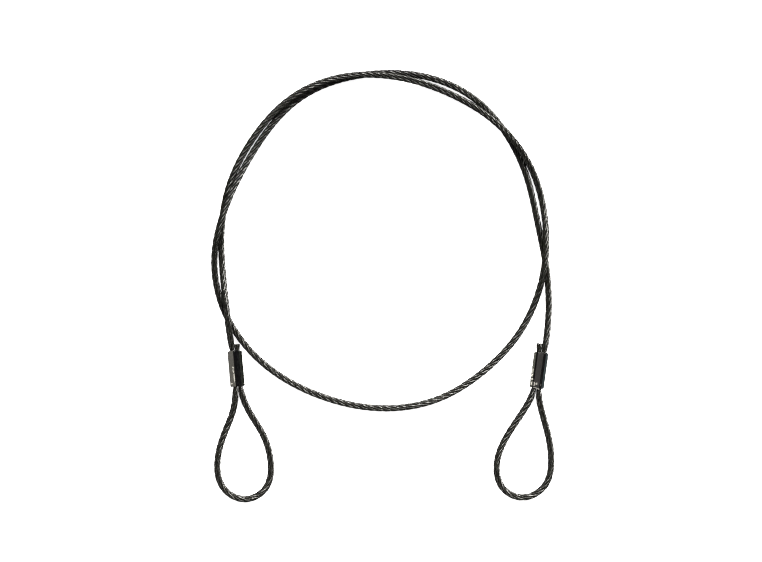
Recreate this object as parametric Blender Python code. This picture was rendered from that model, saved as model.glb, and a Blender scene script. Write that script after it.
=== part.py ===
"""A looped wire rope lanyard, lying flat: one 7x7 steel rope with an eye at each end,
each eye closed by a ferrule pressed over the rope's two legs.

Metres, +Z up, floor at z = 0. +Y runs from the eyes to the far side of the big loop.
The free stretches of rope are plain tubes. Inside and just above the ferrules the rope
is built as its seven separate strands.
"""

import math

import bpy
import numpy as np
from mathutils import Matrix, Vector

MM = 0.001

# Driving dimensions of the rope.
ROPE_D = 3.7 * MM  # over the crowns of its outer strands
PRESSED_D = 2.5 * MM  # across the rope where a ferrule squeezes it
LAY = 24.9 * MM  # length of one full turn of a strand, right-handed
OUTER_STRANDS = 6
GAP = 0.3 * MM  # left between touching pieces
STRAND_GAP = 0.08 * MM
END_FLARE = 0.6  # how far a cut end has opened from the pressed towards the free diameter

# Driving dimensions of a ferrule, across (x), along (y) and through (z) its own body.
FERRULE_LENGTH = 19.4 * MM
FERRULE_CHAMFER = 0.35 * MM
LEG_OFFSET = 1.375 * MM  # from the ferrule's middle to the middle of each leg
CHANNEL_R = PRESSED_D / 2 + 0.25 * MM
CHANNEL_SIDES = 8
# A quarter of the pressed outline: top flat, slant, side and the thin flash fin.
OUTLINE = (
    (1.5 * MM, 2.72 * MM), (3.35 * MM, 1.3 * MM), (3.7 * MM, 0.35 * MM), (4.1 * MM, 0.15 * MM),
)
# How far the legs of rope lean apart, in degrees, as they come out of a ferrule.
CABLE_LEAN = 4
STUB_LEAN = 4
EYE_LEAN = 4.5

# Where each ferrule lies: middle (x, y), lean from +Y, roll about its own length, the side
# (-1 left, +1 right) on which the running part of the rope goes through it, and the length
# of the cut end that stands out of it.
FERRULES = {
    "left": {"at": (-80.6 * MM, -45.7 * MM), "lean": 5.0, "roll": 18.0, "live": -1, "stub": 3.6 * MM},
    "right": {"at": (85.7 * MM, -46.6 * MM), "lean": -7.9, "roll": 8.0, "live": 1, "stub": 4.9 * MM},
}

# Plan of the rope in millimetres, chosen by hand: the big loop from the left ferrule to the
# right one, one and a half turns clockwise, then each eye from its running leg to its dead leg.
MAIN_ROUTE = (
    (-86.4, -8), (-88.9, 20), (-86, 50), (-72, 80), (-45.5, 106), (-12, 115.5), (12, 113.5),
    (30, 108.2), (48, 99.5), (67, 84.5), (83.5, 59.5), (89.5, 27), (89, 15), (84, -8),
    (75, -26), (55, -47.5), (30, -62.5), (0, -67.5), (-35, -60.5), (-64.7, -43.8), (-78.2, -29.7),
    (-88.9, -9.9), (-92.5, 17), (-88, 38), (-73.5, 70), (-45, 103.5), (-5, 116.5),
    (30, 113), (50.5, 102.5), (67, 84.5), (79, 60), (85, 35), (89, 15), (91, -3),
)
LEFT_EYE_ROUTE = (
    (-82, -67), (-87.5, -82), (-91, -96), (-88, -111), (-76, -117.5), (-65, -112),
    (-62, -95), (-66.5, -81), (-73.5, -69.5),
)
RIGHT_EYE_ROUTE = (
    (87, -68), (90.5, -81), (92.5, -96), (89, -110), (76.5, -116.5), (66, -111.5),
    (62.5, -99), (67.5, -84), (76.5, -70),
)

# Long low humps where the main rope passes over itself:
# distance along it in millimetres, length of the rise and of the fall.
HUMP_HEIGHT = 4.25 * MM
HUMPS = ((19, 19, 32), (193, 106, 66), (280, 40, 46), (355, 34, 34), (651, 44, 40))
SETTLE = 22 * MM  # length in which the rope comes down from a ferrule to the floor
SWELL = 9 * MM  # length in which it swells from its pressed to its free diameter

# How finely the solids are cut.
PLAN_STEPS = 12  # on the smooth plan, for each point of the route
MAIN_POINTS = 84
EYE_POINTS = 26
POINTS_PER_LAY = 14
ROPE_SIDES = 8
STRAND_SIDES = 6


def clear_scene():
    for obj in list(bpy.data.objects):
        bpy.data.objects.remove(obj, do_unlink=True)


def make_material(name, color, roughness, metallic):
    material = bpy.data.materials.new(name)
    material.use_nodes = True
    shader = material.node_tree.nodes["Principled BSDF"]
    shader.inputs["Base Color"].default_value = (*color, 1)
    shader.inputs["Roughness"].default_value = roughness
    shader.inputs["Metallic"].default_value = metallic
    return material


def outline_ring():
    """The ferrule's whole outline, clockwise from the right end of its top flat."""
    quarter = list(OUTLINE)
    right = quarter + [(x, -z) for x, z in reversed(quarter)]
    return right + [(-x, z) for x, z in reversed(right)]


def channel_ring():
    """The long round channel for both legs, with as many points as the outline."""
    angles = [math.pi * (0.5 - i / (CHANNEL_SIDES - 1)) for i in range(CHANNEL_SIDES)]
    arc = [(LEG_OFFSET + CHANNEL_R * math.cos(a), CHANNEL_R * math.sin(a)) for a in angles]
    return arc + [(-x, z) for x, z in reversed(arc)]


def lowest(ring, roll):
    """How far the rolled outline reaches below the ferrule's middle."""
    return max(x * math.sin(roll) - z * math.cos(roll) for x, z in ring)


def ferrule_frame(side):
    """The ferrule's place: local y runs along it towards the main rope, local z off its flat."""
    spec = FERRULES[side]
    roll = math.radians(spec["roll"])
    place = Matrix.Translation((*spec["at"], lowest(outline_ring(), roll)))
    lean = Matrix.Rotation(math.radians(spec["lean"]), 4, "Z")
    return place @ lean @ Matrix.Rotation(roll, 4, "Y")


def make_ferrule(side, material):
    """A closed sleeve: an outer skin with chamfered ends, a channel, and two end faces."""
    outer, inner = outline_ring(), channel_ring()
    half = FERRULE_LENGTH / 2
    shrink = 1 - FERRULE_CHAMFER / OUTLINE[0][1]
    full = half - FERRULE_CHAMFER
    stations = ((-half, shrink), (-full, 1), (full, 1), (half, shrink))
    points = [(x * k, y, z * k) for y, k in stations for x, z in outer]
    points += [(x, y, z) for y in (-half, half) for x, z in inner]
    count = len(outer)
    faces = []
    for i in range(count):
        j = (i + 1) % count
        for ring in range(len(stations) - 1):
            a, b = ring * count, (ring + 1) * count
            faces.append((a + i, a + j, b + j, b + i))
        front, back = len(stations) * count, (len(stations) + 1) * count
        top = (len(stations) - 1) * count
        faces.append((front + j, front + i, back + i, back + j))
        faces.append((i, front + i, front + j, j))
        faces.append((top + j, back + j, back + i, top + i))
    mesh = bpy.data.meshes.new(f"{side}_ferrule")
    mesh.from_pydata(points, [], faces)
    mesh.transform(ferrule_frame(side))
    mesh.materials.append(material)
    bpy.context.collection.objects.link(bpy.data.objects.new(mesh.name, mesh))


def make_tube(name, points, depths, sides, material):
    """A closed tube through the points, with a radius at each."""
    widest = max(depths)
    curve = bpy.data.curves.new(name, "CURVE")
    curve.dimensions = "3D"
    curve.bevel_depth = widest
    curve.bevel_resolution = (sides - 4) // 2
    curve.use_fill_caps = True
    spline = curve.splines.new("POLY")
    spline.points.add(len(points) - 1)
    for target, point, depth in zip(spline.points, points, depths):
        target.co = (*point, 1)
        target.radius = depth / widest
    curve.materials.append(material)
    bpy.context.collection.objects.link(bpy.data.objects.new(name, curve))


def smooth_plan(route, start, end):
    """A smooth curve in plan through the route, with a given direction at each end.

    It is a cubic spline whose bend has no jumps: the slopes at its points solve one system.
    """
    points = np.array(route, float)
    spans = np.linalg.norm(np.diff(points, axis=0), axis=1)
    count = len(points)
    matrix, right = np.zeros((count, count)), np.zeros((count, 2))
    matrix[0, 0] = matrix[-1, -1] = 1
    right[0], right[-1] = start, end
    for i in range(1, count - 1):
        before, after = spans[i - 1], spans[i]
        matrix[i, i - 1 : i + 2] = after, 2 * (before + after), before
        rise = before / after * (points[i + 1] - points[i])
        right[i] = 3 * (rise + after / before * (points[i] - points[i - 1]))
    slopes = np.linalg.solve(matrix, right)
    curve = []
    for i, span in enumerate(spans):
        for t in np.arange(PLAN_STEPS) / PLAN_STEPS:
            near, far = (1 + 2 * t) * (1 - t) ** 2, t**2 * (3 - 2 * t)
            value = near * points[i] + far * points[i + 1]
            value += span * t * (1 - t) * ((1 - t) * slopes[i] - t * slopes[i + 1])
            curve.append(value)
    return np.array([*curve, points[-1]])


def spaced(curve, count):
    """The curve again with points evenly spaced, and the distance of each along it."""
    along = np.concatenate([[0], np.cumsum(np.linalg.norm(np.diff(curve, axis=0), axis=1))])
    at = np.linspace(0, along[-1], count)
    return np.stack([np.interp(at, along, column) for column in curve.T], axis=1), at


def ease(distance, length):
    """1 at no distance, falling smoothly to 0 at the length."""
    return math.cos(math.pi / 2 * min(max(distance / length, 0), 1)) ** 2


def hump(along):
    total = 0
    for centre, rise, fall in HUMPS:
        away = along / MM - centre
        total += HUMP_HEIGHT * ease(abs(away), rise if away < 0 else fall)
    return total


def mouth(side, leg, end, lean):
    """The point just outside a ferrule's end face in the middle of a leg, and the way out."""
    frame = ferrule_frame(side)
    point = frame @ Vector((leg * LEG_OFFSET, end * (FERRULE_LENGTH / 2 + GAP), 0))
    apart = leg * math.tan(math.radians(lean))
    return point, (frame.to_3x3() @ Vector((apart, end, 0))).to_2d()


def free_rope(name, route, first, last, count, humped, material):
    """A free stretch of rope between two ferrule mouths, on the floor but for its humps."""
    (start, start_way), (end, end_way) = first, last
    plan = [start.to_2d() / MM, *[Vector(p) for p in route], end.to_2d() / MM]
    curve = smooth_plan(plan, start_way.normalized(), -end_way.normalized()) * MM
    points, along = spaced(curve, count)
    rest = ROPE_D / 2
    placed, depths = [], []
    for (x, y), s in zip(points, along):
        left = along[-1] - s
        z = rest + (start.z - rest) * ease(s, SETTLE) + (end.z - rest) * ease(left, SETTLE)
        placed.append((x, y, z + (hump(s) if humped else 0)))
        depths.append((ROPE_D - (ROPE_D - PRESSED_D) * ease(min(s, left), SWELL)) / 2)
    make_tube(name, placed, depths, ROPE_SIDES, material)


def leg_strands(side, kind, material):
    """The rope's seven strands in one leg of a ferrule. A dead leg runs on to its cut end."""
    live = FERRULES[side]["live"]
    leg = live if kind == "live" else -live
    half = FERRULE_LENGTH / 2
    stub = FERRULES[side]["stub"]
    top = half if kind == "live" else half + stub
    frame = ferrule_frame(side)
    count = round((top + half) / LAY * POINTS_PER_LAY) + 1
    heights = np.linspace(-half, top, count)
    for strand in range(-1, OUTER_STRANDS):
        points, depths = [], []
        for y in heights:
            opened = END_FLARE * (1 - ease(y - half, stub))
            across = PRESSED_D + (ROPE_D - PRESSED_D) * opened
            angle = 2 * math.pi * (y / LAY + strand / OUTER_STRANDS)
            away = across / 3 if strand >= 0 else 0
            apart = max(y - half, 0) * math.tan(math.radians(STUB_LEAN))
            middle = leg * (LEG_OFFSET + apart)
            local = Vector((middle + away * math.sin(angle), y, away * math.cos(angle)))
            points.append(frame @ local)
            depths.append(across / 6 - STRAND_GAP / 2)
        label = "core" if strand < 0 else f"strand_{strand + 1}"
        make_tube(f"{side}_{kind}_{label}", points, depths, STRAND_SIDES, material)


def main():
    clear_scene()
    rope = make_material("black_steel_rope", (0.030, 0.030, 0.028), 0.35, 0.8)
    pressed = make_material("black_ferrule", (0.022, 0.022, 0.024), 0.42, 0.6)
    for side in FERRULES:
        make_ferrule(side, pressed)
        leg_strands(side, "live", rope)
        leg_strands(side, "dead", rope)
    ends = mouth("left", -1, 1, CABLE_LEAN), mouth("right", 1, 1, CABLE_LEAN)
    free_rope("main_cable", MAIN_ROUTE, *ends, MAIN_POINTS, True, rope)
    ends = mouth("left", -1, -1, EYE_LEAN), mouth("left", 1, -1, EYE_LEAN)
    free_rope("left_eye", LEFT_EYE_ROUTE, *ends, EYE_POINTS, False, rope)
    ends = mouth("right", 1, -1, EYE_LEAN), mouth("right", -1, -1, EYE_LEAN)
    free_rope("right_eye", RIGHT_EYE_ROUTE, *ends, EYE_POINTS, False, rope)


main()
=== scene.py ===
"""Looks of the looped wire rope lanyard: laid strands with their wires, and two pressed ferrules.

Metres, +Z up, floor at z = 0, in the frame of the CAD model.
"""

import math

import bpy
import numpy as np
from mathutils import Matrix, Vector, noise


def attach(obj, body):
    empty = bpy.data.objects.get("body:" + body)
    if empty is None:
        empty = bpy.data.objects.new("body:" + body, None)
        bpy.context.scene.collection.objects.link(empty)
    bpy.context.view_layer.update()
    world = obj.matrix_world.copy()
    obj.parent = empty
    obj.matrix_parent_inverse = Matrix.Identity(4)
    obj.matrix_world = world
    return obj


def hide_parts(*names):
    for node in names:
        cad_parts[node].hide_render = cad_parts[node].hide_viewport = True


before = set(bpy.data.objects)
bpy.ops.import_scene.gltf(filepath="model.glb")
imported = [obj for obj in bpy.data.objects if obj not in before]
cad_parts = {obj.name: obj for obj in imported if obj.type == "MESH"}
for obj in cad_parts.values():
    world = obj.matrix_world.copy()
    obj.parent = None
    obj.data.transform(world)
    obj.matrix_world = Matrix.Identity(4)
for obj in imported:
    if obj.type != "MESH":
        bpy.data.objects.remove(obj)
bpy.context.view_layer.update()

MM = 0.001

# The CAD model's sizes and route, but for the end flare and the swelling at the ferrules.
ROPE_D = 3.7 * MM
PRESSED_D = 2.5 * MM
LAY = 24.9 * MM
OUTER_STRANDS = 6
GAP = 0.3 * MM
END_FLARE = 0.8  # how far a cut end has opened from the pressed towards the free diameter
FERRULE_LENGTH = 19.4 * MM
LEG_OFFSET = 1.375 * MM
OUTLINE = (
    (1.5 * MM, 2.72 * MM), (3.35 * MM, 1.3 * MM), (3.7 * MM, 0.35 * MM), (4.1 * MM, 0.15 * MM),
)
CABLE_LEAN = 4
STUB_LEAN = 4
EYE_LEAN = 4.5
FERRULES = {
    "left": {"at": (-80.6 * MM, -45.7 * MM), "lean": 5.0, "roll": 18.0, "live": -1, "stub": 3.6 * MM},
    "right": {"at": (85.7 * MM, -46.6 * MM), "lean": -7.9, "roll": 8.0, "live": 1, "stub": 4.9 * MM},
}
MAIN_ROUTE = (
    (-86.4, -8), (-88.9, 20), (-86, 50), (-72, 80), (-45.5, 106), (-12, 115.5), (12, 113.5),
    (30, 108.2), (48, 99.5), (67, 84.5), (83.5, 59.5), (89.5, 27), (89, 15), (84, -8),
    (75, -26), (55, -47.5), (30, -62.5), (0, -67.5), (-35, -60.5), (-64.7, -43.8), (-78.2, -29.7),
    (-88.9, -9.9), (-92.5, 17), (-88, 38), (-73.5, 70), (-45, 103.5), (-5, 116.5),
    (30, 113), (50.5, 102.5), (67, 84.5), (79, 60), (85, 35), (89, 15), (91, -3),
)
LEFT_EYE_ROUTE = (
    (-82, -67), (-87.5, -82), (-91, -96), (-88, -111), (-76, -117.5), (-65, -112),
    (-62, -95), (-66.5, -81), (-73.5, -69.5),
)
RIGHT_EYE_ROUTE = (
    (87, -68), (90.5, -81), (92.5, -96), (89, -110), (76.5, -116.5), (66, -111.5),
    (62.5, -99), (67.5, -84), (76.5, -70),
)
HUMP_HEIGHT = 4.25 * MM
HUMPS = ((19, 19, 32), (193, 106, 66), (280, 40, 46), (355, 34, 34), (651, 44, 40))
SETTLE = 22 * MM
SWELL = 6.5 * MM  # in which the strands spring back, starting this far inside the mouth:
SWELL_START = 1.5 * MM
PLAN_STEPS = 12

# The strands, each of six wires laid left-handed round a seventh.
WIRE_LAY = 9.6 * MM
STRAND_GAP = 0.05 * MM
RING_STEP = 0.6 * MM
WIRES = 6
POINTS_PER_WIRE = 4
RELIEF = 0.04  # depth of the grooves between the wires, as a share of that between round ones
STRAND_SLIP = (14 * MM, 0.07)  # length of one wander along the lay, and its size in radians
STRAND_LIFT = (9 * MM, 0.02 * MM)  # length of one wander off the core, and its size
CROWN_FROM = 0.25  # how far a point faces out of the rope where a crown begins, and
CROWN_RISE = 0.6  # how much further it is where the crown is full
CORE_SHARE = 1 / 6.4  # the core's radius as a share of the rope's diameter
CORE_SIDES = 12
END_DOME = 0.12 * MM
LEG_ROWS = 40
SEED = 7

# The ferrules as they were pressed, in millimetres: corners of the outline (x, z) clockwise
# from the middle of the top, each with the colour of the face that follows it (the black paint,
# or painted light and shade on that face), and how far the metal reaches along y at each x, at
# the top and at the bottom end. A ripple is its height, its pitch, the side of its fin (-1 left,
# 1 right) and the y from and to which it runs. A bare spot is its x and y and its width and length.
PRESSED = {
    "left": {
        "outline": (
            (-0.1, 2.75, "black"), (1.75, 2.7, "edge"), (2.0, 2.55, "olive"), (3.55, 1.25, "olive"),
            (3.7, 0.4, "olive"), (3.98, 0.2, "olive"), (3.98, -0.1, "black"), (3.35, -1.3, "black"),
            (1.5, -2.72, "black"), (-1.5, -2.72, "black"), (-3.35, -1.3, "black"),
            (-4.2, -0.1, "grey"), (-4.25, 0.25, "grey"), (-3.9, 0.75, "grey"), (-1.85, 2.65, "black"),
        ),
        "top": (
            (-4.3, 9.35), (-3.8, 9.6), (-2.4, 10.05), (-0.5, 10.2), (2.2, 9.85), (2.8, 9.6), (4, 9.35),
        ),
        "bottom": ((-4.3, 9.4), (-3.8, 9.75), (4, 9.7)),
        "ripple": (0.10, 1.7, 1, -9, 1),
        "bare": (
            (-2.3, 0.8, 0.25, 0.45), (-2.45, -0.5, 0.2, 0.3), (-2.35, -1.4, 0.25, 0.5),
            (-2.2, -4.6, 0.2, 2.2), (-3.55, -7.95, 0.3, 0.25),
        ),
    },
    "right": {
        "outline": (
            (0.1, 2.7, "dim"), (0.62, 2.75, "black"), (2.3, 2.6, "cold"), (3.75, 0.7, "cold"),
            (4.05, 0.25, "cold"), (4.05, -0.1, "black"), (3.35, -1.3, "black"),
            (1.5, -2.72, "black"), (-1.5, -2.72, "black"), (-3.35, -1.3, "black"),
            (-4.05, -0.1, "rib"), (-4.1, 0.25, "rib"), (-2.95, 0.7, "black"), (-2.75, 0.75, "black"),
            (-2.3, 1.85, "dim"),
        ),
        "top": ((-4.2, 9.5), (-2.5, 9.75), (2.5, 10.25), (3, 10), (4.1, 9.35)),
        "bottom": (
            (-4.2, 9.7), (-2.5, 9.75), (-0.5, 10.05), (0.5, 10.6), (0.9, 10.7), (1.3, 10), (2.6, 9.85),
            (4.1, 9.6),
        ),
        "ripple": (0.13, 1.0, -1, -7, 10),
        "bare": (
            (-3.5, 0.2, 0.5, 0.22), (-3.6, -0.8, 0.5, 0.22), (-3.6, -1.8, 0.5, 0.24),
            (-3.6, -2.8, 0.45, 0.24), (-3.7, -3.6, 0.4, 0.2), (-3.2, -5.3, 0.45, 0.4),
            (-3.3, -7.7, 0.32, 0.65), (-2.5, -6.95, 0.7, 0.3), (-1.8, -7.7, 0.3, 0.65),
            (-2.5, -8.5, 0.6, 0.25), (-0.8, -7.4, 0.32, 0.5), (-2.0, -9.8, 0.7, 0.25),
            (-1.0, -9.95, 0.8, 0.3), (0, -10.2, 0.7, 0.4), (0.6, -10.6, 0.5, 0.5),
            (1.45, -7.8, 0.2, 0.5),
        ),
    },
}
# Only "black" is the ferrule's own paint. The other colours are painted light and shade: "grey" and
# "dim" are faces made lighter where they lean towards the lights, "edge" is a painted highlight along a
# corner, "cold" is a painted bluish reflection, and "olive" and "rib" make the slant and fins lighter
# than black where light falls on them.
FACE_PAINT_AND_LIGHT = {  # base colour and roughness
    "black": ((0.0012, 0.0012, 0.0015), 0.2), "edge": ((0.016, 0.018, 0.015), 0.36),
    "grey": ((0.040, 0.038, 0.034), 0.6), "dim": ((0.010, 0.009, 0.009), 0.4),
    "cold": ((0.022, 0.030, 0.033), 0.42), "rib": ((0.022, 0.023, 0.017), 0.5),
    "olive": ((0.007, 0.008, 0.006), 0.42),
}
# The rest of a ferrule's shape, in millimetres.
RING_POINTS = 168
BODY_RINGS = 120
OUTLINE_PASSES = 5  # how often the outline's corners are softened, and how often the borders between the faces' colours (paint and painted light) are
PAINT_AND_LIGHT_PASSES = 2  # how often the borders between finishes are
END_ROUND = 0.3  # radius of the end edges
END_STEPS = 6
CHANNEL_R = 1.3  # of the channel round each leg
CHANNEL_SWEEP = 250  # degrees of that round, and from there straight across to the other leg's
CHANNEL_STEPS = 24
CHANNEL_INSET = 0.15  # from the end faces to the first rings of the channel
FIN_FROM = 3.0  # the ripple starts this far out from the middle,
FIN_BLEND = 0.6  # and has its full height this much further out
RIPPLE_UP = 1.2  # how much of the ripple's height goes up, as a share of what goes out
RIPPLE_DRIFT = (0.3, 1.7)  # the ripple's pitch isn't even: size and rate of its drift
LIP_FROM = 1.5  # height above which the bottom lip reaches past the end face
BARE_FROM = 0.1  # bare spots show only above this height
DENTS = ((0.05, 0.45), (0.02, 1.8), (0.008, 5))  # depth, and blotches in a millimetre
DENT_SEEDS = {"left": 5, "right": 11}

# The rope's and the ferrules' surfaces.
STREAK_STRETCH = 0.32  # noise along a wire for each millimetre
STREAK_SCALE = 2.2
STREAK_DETAIL = 4
WORN_STEP = (0.65, 0.74)  # of the streaks: black below, rubbed bright above
WORN_STEEL = (0.30, 0.292, 0.262)
WIRE_BLACKS = ((0.35, (0.003, 0.003, 0.0024)), (0.7, (0.009, 0.009, 0.0068)))
WIRE_ROUGHNESS = 0.34
CROWN_POLISH = 0.12  # how much smoother the crowns are
WIRE_IOR = 1.6
SPECKLE = ((0.35, (0.55, 0.55, 0.55)), (0.65, (1.5, 1.5, 1.5)))
BARE_RAGGED = 1.2  # how ragged the edge of a bare spot is
BARE_STEP = (0.45, 0.6)
BARE_METAL = (0.72, 0.70, 0.65)
SCUFF = 0.2  # spread of the ferrules' roughness
GRAIN_DEPTH = 0.05 * MM
GRAIN_STRENGTH = 0.2
# Noise patterns: blotches in a metre, and detail.
BLACK_NOISE = (260, 4)
SPECKLE_NOISE = (3200, 3)
RAGGED_NOISE = (2600, 3)
SCUFF_NOISE = (900, 4)
GRAIN_NOISE = (4200, 3)

# Camera and light.
CAMERA_HEIGHT = 1.2
VIEW_WIDTH = 419.1 * MM
VIEW_CENTRE = (-1.1 * MM, 2.475 * MM)
SENSOR = 36
SOFTBOX_DISTANCE = 1.1
SOFTBOX_SIZE = (0.25, 0.2)
SOFTBOX_ELEVATION = 42
SOFTBOX_SPREAD = 45  # degrees, so that the light falls off away from the aim
LIGHT_AIM = Vector((0, -0.25, 0))
LIGHTS = ((5, 1.5), (-45, 0.95), (60, 1.05), (125, 0.1), (180, 0.12), (-125, 0.1))  # azimuth and watts
LIGHT_COLOR = (1, 0.985, 0.93)
FLOOR_REACH = 4.0
FLOOR_GLOW = 0.92
PAPER_WHITE = 0.9
SKY_COLOR = (0.9, 0.95, 1)
SKY_STRENGTH = 0.02
PIXEL_FILTER = 1.2
UP = Vector((0, 0, 1))


# ---------------------------------------------------------------- camera, lights and floor

def add_camera():
    camera = bpy.data.cameras.new("camera")
    camera.sensor_width = SENSOR
    camera.lens = SENSOR * (CAMERA_HEIGHT - ROPE_D / 2) / VIEW_WIDTH
    obj = bpy.data.objects.new("camera", camera)
    obj.location = (*VIEW_CENTRE, CAMERA_HEIGHT)
    bpy.context.collection.objects.link(obj)
    bpy.context.scene.camera = obj


def add_softbox(azimuth, power):
    """A soft rectangle of light, aimed at the floor beyond the eyes."""
    across, up = math.radians(azimuth), math.radians(SOFTBOX_ELEVATION)
    way = Vector((math.sin(across) * math.cos(up), math.cos(across) * math.cos(up), math.sin(up)))
    light = bpy.data.lights.new(f"softbox_{azimuth}", "AREA")
    light.shape = "RECTANGLE"
    light.size, light.size_y = SOFTBOX_SIZE
    light.energy = power
    light.color = LIGHT_COLOR
    light.spread = math.radians(SOFTBOX_SPREAD)
    obj = bpy.data.objects.new(light.name, light)
    obj.location = way * SOFTBOX_DISTANCE
    obj.rotation_euler = (obj.location - LIGHT_AIM).to_track_quat("Z", "Y").to_euler()
    obj.visible_camera = False
    bpy.context.collection.objects.link(obj)


def add_world():
    world = bpy.data.worlds.new("studio")
    world.use_nodes = True
    sky = world.node_tree.nodes["Background"]
    sky.inputs["Color"].default_value = (*SKY_COLOR, 1)
    sky.inputs["Strength"].default_value = SKY_STRENGTH
    bpy.context.scene.world = world


def add_floor():
    """Plain white paper that glows, so that hardly a shadow shows on it."""
    mesh = bpy.data.meshes.new("floor")
    corners = [(FLOOR_REACH * x, FLOOR_REACH * y, 0) for x, y in ((-1, -1), (1, -1), (1, 1), (-1, 1))]
    mesh.from_pydata(corners, [], [(0, 1, 2, 3)])
    floor = bpy.data.objects.new("floor", mesh)
    bpy.context.collection.objects.link(floor)
    material = bpy.data.materials.new("floor_paper")
    material.use_nodes = True
    shader = material.node_tree.nodes["Principled BSDF"]
    shader.inputs["Base Color"].default_value = (PAPER_WHITE, PAPER_WHITE, PAPER_WHITE, 1)
    shader.inputs["Roughness"].default_value = 1
    shader.inputs["Specular IOR Level"].default_value = 0
    shader.inputs["Emission Color"].default_value = (1, 1, 1, 1)
    shader.inputs["Emission Strength"].default_value = FLOOR_GLOW
    mesh.materials.append(material)
    floor.visible_glossy = False


# ---------------------------------------------------------------- the rope's centreline

def ease(distance, length):
    """1 at no distance, falling smoothly to 0 at the length."""
    return np.cos(np.pi / 2 * np.clip(distance / length, 0, 1)) ** 2


def outline_ring():
    """The whole outline of the CAD model's ferrule, clockwise."""
    quarter = list(OUTLINE)
    right = quarter + [(x, -z) for x, z in reversed(quarter)]
    return right + [(-x, z) for x, z in reversed(right)]


def ferrule_frame(side):
    """A ferrule's place: local y runs along it towards the main rope, local z off its flat."""
    spec = FERRULES[side]
    roll = math.radians(spec["roll"])
    lowest = max(x * math.sin(roll) - z * math.cos(roll) for x, z in outline_ring())
    place = Matrix.Translation((*spec["at"], lowest))
    lean = Matrix.Rotation(math.radians(spec["lean"]), 4, "Z")
    return place @ lean @ Matrix.Rotation(roll, 4, "Y")


def mouth(side, leg, end, lean):
    """The point just outside a ferrule's end face in the middle of a leg, and the way out."""
    place = ferrule_frame(side)
    point = place @ Vector((leg * LEG_OFFSET, end * (FERRULE_LENGTH / 2 + GAP), 0))
    apart = leg * math.tan(math.radians(lean))
    return point, (place.to_3x3() @ Vector((apart, end, 0))).to_2d()


def smooth_plan(route, start, end):
    """A cubic spline in plan through the route, with a given direction at each end."""
    points = np.array(route, float)
    spans = np.linalg.norm(np.diff(points, axis=0), axis=1)
    count = len(points)
    matrix, right = np.zeros((count, count)), np.zeros((count, 2))
    matrix[0, 0] = matrix[-1, -1] = 1
    right[0], right[-1] = start, end
    for i in range(1, count - 1):
        before, after = spans[i - 1], spans[i]
        matrix[i, i - 1 : i + 2] = after, 2 * (before + after), before
        rise = before / after * (points[i + 1] - points[i])
        right[i] = 3 * (rise + after / before * (points[i] - points[i - 1]))
    slopes = np.linalg.solve(matrix, right)
    curve = []
    for i, span in enumerate(spans):
        for t in np.arange(PLAN_STEPS) / PLAN_STEPS:
            near, far = (1 + 2 * t) * (1 - t) ** 2, t**2 * (3 - 2 * t)
            value = near * points[i] + far * points[i + 1]
            value += span * t * (1 - t) * ((1 - t) * slopes[i] - t * slopes[i + 1])
            curve.append(value)
    return np.array([*curve, points[-1]])


def distances(points):
    """How far along the line each of its points is."""
    return np.concatenate([[0], np.cumsum(np.linalg.norm(np.diff(points, axis=0), axis=1))])


def swelling(outside):
    """The rope's diameter at a distance outside a ferrule's mouth, or inside if negative."""
    return ROPE_D - (ROPE_D - PRESSED_D) * ease(outside + SWELL_START, SWELL)


def free_stretch(route, first, last, humped):
    """Rows of x, y, z and rope diameter along a free stretch between two ferrule mouths."""
    (start, start_way), (end, end_way) = first, last
    plan = [start.to_2d() / MM, *[Vector(p) for p in route], end.to_2d() / MM]
    curve = smooth_plan(plan, start_way.normalized(), -end_way.normalized()) * MM
    along = distances(curve)
    left = along[-1] - along
    rest = ROPE_D / 2
    z = rest + (start.z - rest) * ease(along, SETTLE) + (end.z - rest) * ease(left, SETTLE)
    if humped:
        for centre, rise, fall in HUMPS:
            away = along / MM - centre
            z += HUMP_HEIGHT * ease(np.abs(away), np.where(away < 0, rise, fall))
    across = swelling(np.minimum(along, left))
    return np.column_stack([curve, z, across])


def leg_stretch(side, leg, stub=0.0):
    """The same rows through one leg of a ferrule, and on to its cut end if it has one."""
    place = ferrule_frame(side)
    half = FERRULE_LENGTH / 2
    rows = []
    for y in np.linspace(-half, half + stub, LEG_ROWS):
        across = swelling(abs(y) - half)
        if stub and y > 0:
            across = min(across, PRESSED_D + END_FLARE * (ROPE_D - PRESSED_D))
        apart = max(y - half, 0) * math.tan(math.radians(STUB_LEAN))
        point = place @ Vector((leg * (LEG_OFFSET + apart), y, 0))
        rows.append((*point, across))
    return np.array(rows)


def whole_rope():
    """The rope from the left cut end to the right one: its centreline, and its diameter there."""
    ends = mouth("left", -1, -1, EYE_LEAN), mouth("left", 1, -1, EYE_LEAN)
    left_eye = free_stretch(LEFT_EYE_ROUTE, *ends, False)
    ends = mouth("left", -1, 1, CABLE_LEAN), mouth("right", 1, 1, CABLE_LEAN)
    main = free_stretch(MAIN_ROUTE, *ends, True)
    ends = mouth("right", 1, -1, EYE_LEAN), mouth("right", -1, -1, EYE_LEAN)
    right_eye = free_stretch(RIGHT_EYE_ROUTE, *ends, False)
    rows = np.vstack([
        leg_stretch("left", 1, FERRULES["left"]["stub"])[::-1],
        left_eye[::-1],
        leg_stretch("left", -1),
        main,
        leg_stretch("right", 1)[::-1],
        right_eye,
        leg_stretch("right", -1, FERRULES["right"]["stub"]),
    ])
    along = distances(rows[:, :3])
    at = np.linspace(0, along[-1], round(along[-1] / RING_STEP) + 1)
    even = np.column_stack([np.interp(at, along, column) for column in rows.T])
    return even[:, :3], even[:, 3], at


# ---------------------------------------------------------------- mesh helpers

def normalised(vectors):
    return vectors / np.linalg.norm(vectors, axis=1)[:, None]


def wander(random, at, length, size):
    """A smooth random walk along the rope, with about one bend in each length."""
    count = int(at[-1] / length) + 4
    knots = random.uniform(-size, size, count)
    place = at / length
    i = place.astype(int)
    t = place - i
    t = t * t * (3 - 2 * t)
    return knots[i] * (1 - t) + knots[i + 1] * t


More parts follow.
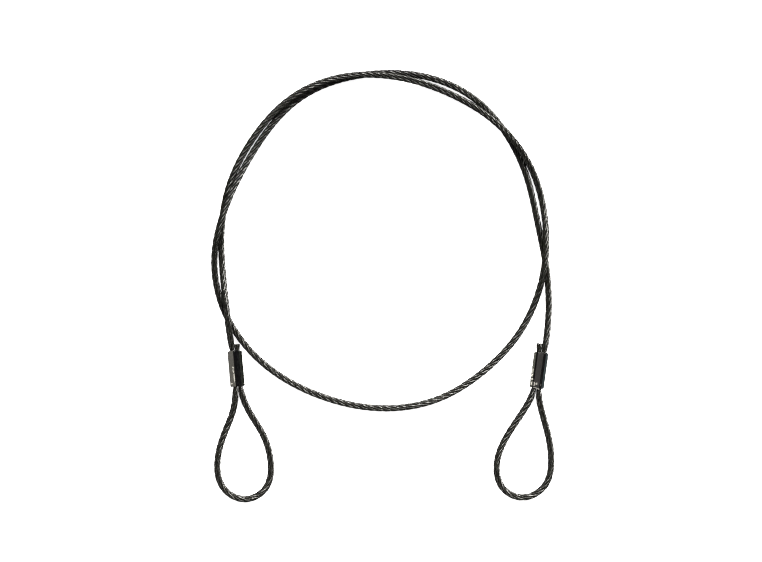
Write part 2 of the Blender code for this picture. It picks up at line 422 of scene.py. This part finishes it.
def add_piece(name, points, faces, material, marks=None):
    """A smooth mesh that rides on the one body. marks are named numbers for each point."""
    mesh = bpy.data.meshes.new(name)
    mesh.from_pydata(points, [], faces)
    mesh.update()
    for mark, values in (marks or {}).items():
        mesh.attributes.new(mark, "FLOAT", "POINT").data.foreach_set("value", values)
    mesh.shade_smooth()
    mesh.materials.append(material)
    obj = bpy.data.objects.new(name, mesh)
    bpy.context.collection.objects.link(obj)
    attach(obj, "root")
    return obj


def tube_faces(rings, sides):
    """Quads between the rings, and a fan on each end round one more point there."""
    start, end = rings * sides, rings * sides + 1
    faces = []
    for ring in range(rings - 1):
        a, b = ring * sides, (ring + 1) * sides
        for i in range(sides):
            j = (i + 1) % sides
            faces.append((a + i, a + j, b + j, b + i))
    last = (rings - 1) * sides
    for i in range(sides):
        j = (i + 1) % sides
        faces.append((start, j, i))
        faces.append((end, last + i, last + j))
    return faces


# ---------------------------------------------------------------- materials

def new_material(name):
    material = bpy.data.materials.new(name)
    material.use_nodes = True
    return material, material.node_tree.nodes, material.node_tree.links


def add_noise(nodes, links, scale, detail):
    """A noise pattern of about one blotch in 1/scale metres."""
    place = nodes.new("ShaderNodeTexCoord")
    pattern = nodes.new("ShaderNodeTexNoise")
    pattern.inputs["Scale"].default_value = scale
    pattern.inputs["Detail"].default_value = detail
    links.new(place.outputs["Object"], pattern.inputs["Vector"])
    return pattern.outputs["Fac"]


def add_ramp(nodes, links, source, stops):
    """The colour at the source's value, from (value, colour) stops."""
    node = nodes.new("ShaderNodeValToRGB")
    elements = node.color_ramp.elements
    while len(elements) < len(stops):
        elements.new(0.5)
    for element, (position, color) in zip(elements, stops):
        element.position = position
        element.color = (*color, 1)
    links.new(source, node.inputs["Fac"])
    return node.outputs["Color"]


def add_step(nodes, links, source, low, high):
    """0 where the source is below low, 1 above high, and even between."""
    return add_ramp(nodes, links, source, ((low, (0, 0, 0)), (high, (1, 1, 1))))


def add_math(nodes, links, operation, *values, clamp=False):
    """One sum on the values. Each of them is a socket or a number."""
    node = nodes.new("ShaderNodeMath")
    node.operation = operation
    node.use_clamp = clamp
    for socket, value in zip(node.inputs, values):
        if isinstance(value, (int, float)):
            socket.default_value = value
        else:
            links.new(value, socket)
    return node.outputs[0]


def add_mix(nodes, links, factor, first, second, blend="MIX"):
    """Mixes two colours. Each input is a socket, a number or a colour."""
    node = nodes.new("ShaderNodeMix")
    node.data_type = "RGBA"
    node.blend_type = blend
    color_inputs = [socket for socket in node.inputs if socket.type == "RGBA"]
    for socket, value in zip((node.inputs[0], *color_inputs), (factor, first, second)):
        if isinstance(value, tuple):
            socket.default_value = (*value, 1)
        elif isinstance(value, float):
            socket.default_value = value
        else:
            links.new(value, socket)
    return next(socket for socket in node.outputs if socket.type == "RGBA")


def add_attribute(nodes, name, output="Color"):
    node = nodes.new("ShaderNodeAttribute")
    node.attribute_name = name
    return node.outputs[output]


def rope_material(label):
    """Black steel, with streaks along the wires where the crowns are rubbed bright."""
    material, nodes, links = new_material(f"black_wire_{label}")
    shader = nodes["Principled BSDF"]
    crown = add_attribute(nodes, "crown", "Fac")
    place = nodes.new("ShaderNodeCombineXYZ")
    along = add_attribute(nodes, "along", "Fac")
    links.new(add_math(nodes, links, "MULTIPLY", along, STREAK_STRETCH), place.inputs["X"])
    links.new(add_attribute(nodes, "wire_x", "Fac"), place.inputs["Y"])
    links.new(add_attribute(nodes, "wire_y", "Fac"), place.inputs["Z"])
    streaks = nodes.new("ShaderNodeTexNoise")
    streaks.inputs["Scale"].default_value = STREAK_SCALE
    streaks.inputs["Detail"].default_value = STREAK_DETAIL
    links.new(place.outputs["Vector"], streaks.inputs["Vector"])
    worn = add_step(nodes, links, streaks.outputs["Fac"], *WORN_STEP)
    worn = add_math(nodes, links, "MULTIPLY", worn, crown)
    black = add_ramp(nodes, links, add_noise(nodes, links, *BLACK_NOISE), WIRE_BLACKS)
    links.new(add_mix(nodes, links, worn, black, WORN_STEEL), shader.inputs["Base Color"])
    links.new(worn, shader.inputs["Metallic"])
    roughness = add_math(nodes, links, "MULTIPLY_ADD", crown, -CROWN_POLISH, WIRE_ROUGHNESS)
    links.new(roughness, shader.inputs["Roughness"])
    shader.inputs["IOR"].default_value = WIRE_IOR
    return material


def ferrule_material():
    """Black paint with fine speckle and painted light and shade on some faces (lighter, bluish or a
    corner highlight), rubbed through to bright metal in spots.
    """
    material, nodes, links = new_material("black_ferrule")
    shader = nodes["Principled BSDF"]
    speckle = add_ramp(nodes, links, add_noise(nodes, links, *SPECKLE_NOISE), SPECKLE)
    # Each face's colour: the black paint, or painted light and shade where a face is lit, bluish or
    # highlighted.
    paint_and_light_tint = add_attribute(nodes, "paint_and_light_tint")
    painted = add_mix(nodes, links, 1.0, paint_and_light_tint, speckle, "MULTIPLY")
    ragged = add_noise(nodes, links, *RAGGED_NOISE)
    ragged = add_math(nodes, links, "MULTIPLY_ADD", ragged, BARE_RAGGED, -BARE_RAGGED / 2)
    torn = add_math(nodes, links, "ADD", add_attribute(nodes, "bare", "Fac"), ragged)
    torn = add_step(nodes, links, torn, *BARE_STEP)
    links.new(add_mix(nodes, links, torn, painted, BARE_METAL), shader.inputs["Base Color"])
    links.new(torn, shader.inputs["Metallic"])
    dull = add_attribute(nodes, "dull", "Fac")
    scuff = add_noise(nodes, links, *SCUFF_NOISE)
    scuff = add_math(nodes, links, "MULTIPLY_ADD", scuff, SCUFF, dull)
    scuff = add_math(nodes, links, "ADD", scuff, -SCUFF / 2, clamp=True)
    links.new(scuff, shader.inputs["Roughness"])
    bump = nodes.new("ShaderNodeBump")
    bump.inputs["Strength"].default_value = GRAIN_STRENGTH
    bump.inputs["Distance"].default_value = GRAIN_DEPTH
    links.new(add_noise(nodes, links, *GRAIN_NOISE), bump.inputs["Height"])
    links.new(bump.outputs["Normal"], shader.inputs["Normal"])
    return material


# ---------------------------------------------------------------- the rope's strands

def wire_outline():
    """Angle and radius, in wire radii, of the points round a strand of six wires."""
    points = []
    for i in range(WIRES * POINTS_PER_WIRE):
        step = 2 * math.pi / (WIRES * POINTS_PER_WIRE)
        off = (i % POINTS_PER_WIRE) * step - math.pi / WIRES
        radius = 2 * math.cos(off) + math.sqrt(max(0.0, 1 - 4 * math.sin(off) ** 2))
        points.append((i * step, 3 - RELIEF * (3 - radius)))
    return points


def rope_axes(centre):
    """Directions along the rope, to its side and over it, at each point of its centreline."""
    way = normalised(np.gradient(centre, axis=0))
    side = normalised(np.cross(np.array(UP), way))
    return way, side, np.cross(way, side)


def strand_rings(centre, across, at, strand, random):
    """An outer strand's middle line, its points ring by ring, and how far each faces outward."""
    _, side, over = rope_axes(centre)
    slip = wander(random, at, *STRAND_SLIP)
    lift = wander(random, at, *STRAND_LIFT)
    angle = 2 * np.pi * (at / LAY + strand / OUTER_STRANDS) + slip
    out = np.cos(angle)[:, None] * side + np.sin(angle)[:, None] * over
    line = centre + out * (across / 3 + lift)[:, None]
    run = normalised(np.gradient(line, axis=0))
    first = normalised(out - np.sum(out * run, axis=1)[:, None] * run)
    second = np.cross(run, first)
    wire = (across / 6 - STRAND_GAP / 2) / 3
    turn = -2 * np.pi * at * (1 / WIRE_LAY + 1 / LAY) + random.uniform(0, 6)
    rings = np.empty((len(at), WIRES * POINTS_PER_WIRE, 3))
    for i, (around, radius) in enumerate(wire_outline()):
        a = (around + turn)[:, None]
        reach = (radius * wire)[:, None]
        rings[:, i] = line + reach * (np.cos(a) * first + np.sin(a) * second)
    away = normalised((rings - line[:, None]).reshape(-1, 3)).reshape(rings.shape)
    return line, rings, np.sum(away * out[:, None], axis=2)


def strand_marks(at, facing):
    """For the material: how exposed each point is, and its place along and round the strand."""
    around = np.array([angle for angle, _ in wire_outline()])
    marks = {
        "crown": np.clip((facing.ravel() - CROWN_FROM) / CROWN_RISE, 0, 1),
        "along": np.repeat(at / MM, len(around)),
        "wire_x": np.tile(np.cos(around), len(at)),
        "wire_y": np.tile(np.sin(around), len(at)),
    }
    ends = (0, 0)
    return {name: np.append(values, ends) for name, values in marks.items()}


def add_strand(name, line, rings, material, marks=None):
    """A closed strand through the rings of points, with a low dome on each end."""
    run = normalised(np.gradient(line, axis=0))
    ends = line[0] - run[0] * END_DOME, line[-1] + run[-1] * END_DOME
    points = np.vstack([rings.reshape(-1, 3), *ends]).tolist()
    return add_piece(name, points, tube_faces(*rings.shape[:2]), material, marks=marks)


def add_strands(centre, across, at):
    """Six outer strands and the core, each from one cut end of the rope to the other."""
    random = np.random.default_rng(SEED)
    pieces = []
    for strand in range(OUTER_STRANDS):
        line, rings, facing = strand_rings(centre, across, at, strand, random)
        name = f"rope_strand_{strand + 1}"
        marks = strand_marks(at, facing)
        pieces.append(add_strand(name, line, rings, rope_material(strand), marks))
    _, side, over = rope_axes(centre)
    reach = (across * CORE_SHARE)[:, None]
    turns = [2 * math.pi * i / CORE_SIDES for i in range(CORE_SIDES)]
    rings = np.stack([centre + reach * (math.cos(a) * side + math.sin(a) * over) for a in turns], axis=1)
    pieces.append(add_strand("rope_core", centre, rings, rope_material("core")))
    return pieces


def add_rope():
    centre, across, at = whole_rope()
    pieces = add_strands(centre, across, at)
    rope_nodes = [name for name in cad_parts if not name.endswith("_ferrule")]
    for piece in pieces:
        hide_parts(*rope_nodes)


# ---------------------------------------------------------------- the ferrules

def resampled(corners, count):
    """Points evenly spaced round a closed outline, and the corner that each one follows."""
    closed = np.array([*corners, corners[0]], float)
    along = distances(closed)
    at = np.linspace(0, along[-1], count, endpoint=False)
    points = np.column_stack([np.interp(at, along, column) for column in closed.T])
    return points, np.searchsorted(along, at, side="right") - 1


def rounded(points, passes):
    """The closed outline again with its corners softened."""
    for _ in range(passes):
        points = (np.roll(points, 1, axis=0) + 2 * points + np.roll(points, -1, axis=0)) / 4
    return points


def channel_outline():
    """The channel for both legs, clockwise from the middle of its top."""
    sweep = [CHANNEL_SWEEP * (0.5 - i / CHANNEL_STEPS) for i in range(CHANNEL_STEPS + 1)]
    turns = [math.radians(degrees) for degrees in sweep]
    right = [(LEG_OFFSET / MM + CHANNEL_R * math.cos(a), CHANNEL_R * math.sin(a)) for a in turns]
    left = [(-x, z) for x, z in reversed(right)]
    return [(0, right[0][1]), *right, *left]


def ferrule_stations():
    """Place along y and inset of each ring of the skin, bottom to top."""
    half = FERRULE_LENGTH / MM / 2
    turns = [math.pi / 2 * i / END_STEPS for i in range(END_STEPS + 1)]
    end = [(half - END_ROUND + END_ROUND * math.sin(a), END_ROUND * (1 - math.cos(a))) for a in turns]
    body = [(y, 0) for y in np.linspace(END_ROUND - half, half - END_ROUND, BODY_RINGS)[1:-1]]
    bottom = [(-y, inset) for y, inset in reversed(end)]
    return bottom + body + end


def rough(points, scale, seed):
    """A number from about -1 to 1 for each point, from smooth noise."""
    shift = Vector((seed, 2 * seed, 3 * seed))
    return np.array([noise.noise(Vector(p) * scale + shift) for p in points])


def rippled(ring, y, ripple):
    """The ring with the ripple that pressing left along one fin."""
    height, pitch, fin, low, high = ripple
    size, rate = RIPPLE_DRIFT
    on_fin = np.clip((fin * ring[:, 0] - FIN_FROM) / FIN_BLEND, 0, 1) * (low < y < high)
    wave = abs(math.sin(math.pi * (y + size * math.sin(rate * y)) / pitch)) - 0.5
    out = height * wave * on_fin
    return ring + np.column_stack([fin * out, RIPPLE_UP * out])


def ferrule_skin(spec, outer, inner):
    """The outside's points, ring by ring from the bottom end: rippled fin, uneven ends."""
    inward = normalised(inner - outer)
    half = FERRULE_LENGTH / MM / 2
    rings = []
    for y, inset in ferrule_stations():
        ring = rippled(outer + inward * inset, y, spec["ripple"])
        edge = spec["top"] if y > 0 else spec["bottom"]
        reach = np.interp(ring[:, 0], *np.array(edge).T) / half
        if y < 0:
            reach = np.where(ring[:, 1] > LIP_FROM, reach, np.minimum(reach, 1.0))
        rings.append(np.column_stack([ring[:, 0], y * reach, ring[:, 1]]))
    return np.vstack(rings)


def dented(points, seed):
    """The skin's points with shallow dents, in and out from the ferrule's middle line."""
    away = normalised(points * (1, 0, 1) + 1e-9)
    depth = sum(size * rough(points, scale, seed) for size, scale in DENTS)
    return points + away * depth[:, None]


def ring_faces(rings, count):
    """Quads between the rings, and from the last ring back to the first."""
    faces = []
    for ring in range(rings):
        a, b = ring * count, (ring + 1) % rings * count
        for i in range(count):
            j = (i + 1) % count
            faces.append((a + i, a + j, b + j, b + i))
    return faces


def bareness(points, spots):
    """How rubbed through the black paint is at each point of the top side, from 0 to 1."""
    bare = np.zeros(len(points))
    for x, y, wide, long in spots:
        away = ((points[:, 0] - x) / wide) ** 2 + ((points[:, 1] - y) / long) ** 2
        bare = np.maximum(bare, np.exp(-away / 2) * (points[:, 2] > BARE_FROM))
    return bare


def add_ferrule(side, material):
    """One closed skin: the pressed outside, the rounded ends and the channel through it."""
    spec = PRESSED[side]
    outer, face = resampled([corner[:2] for corner in spec["outline"]], RING_POINTS)
    outer = rounded(outer, OUTLINE_PASSES)
    inner, _ = resampled(channel_outline(), RING_POINTS)
    skin = dented(ferrule_skin(spec, outer, inner), DENT_SEEDS[side])
    half = FERRULE_LENGTH / MM / 2
    levels = (half - CHANNEL_INSET, half / 2, 0, -half / 2, CHANNEL_INSET - half)
    channel = [np.insert(inner, 1, y, axis=1) for y in levels]
    points = np.vstack([skin, *channel])
    rings = len(points) // RING_POINTS
    # Each face's colour and roughness: the black paint, or painted light and shade on that face.
    paint_and_light = [FACE_PAINT_AND_LIGHT[corner[2]] for corner in spec["outline"]]
    colors = rounded(np.array([paint_and_light[i][0] for i in face]), PAINT_AND_LIGHT_PASSES)
    dull = rounded(np.array([paint_and_light[i][1] for i in face]), PAINT_AND_LIGHT_PASSES)
    marks = {"bare": bareness(points, spec["bare"]), "dull": np.tile(dull, rings)}
    place = ferrule_frame(side)
    world = [place @ (Vector(p) * MM) for p in points]
    faces = ring_faces(rings, RING_POINTS)
    piece = add_piece(f"{side}_ferrule_pressed", world, faces, material, marks=marks)
    tint = np.column_stack([np.tile(colors, (rings, 1)), np.ones(len(points))])
    store = piece.data.attributes.new("paint_and_light_tint", "FLOAT_COLOR", "POINT")
    store.data.foreach_set("color", tint.ravel())
    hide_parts(f"{side}_ferrule")


def main():
    add_camera()
    add_world()
    add_floor()
    for azimuth, power in LIGHTS:
        add_softbox(azimuth, power)
    add_rope()
    material = ferrule_material()
    for side in FERRULES:
        add_ferrule(side, material)
    bpy.context.scene.view_settings.view_transform = "Standard"
    bpy.context.scene.cycles.filter_width = PIXEL_FILTER


main()
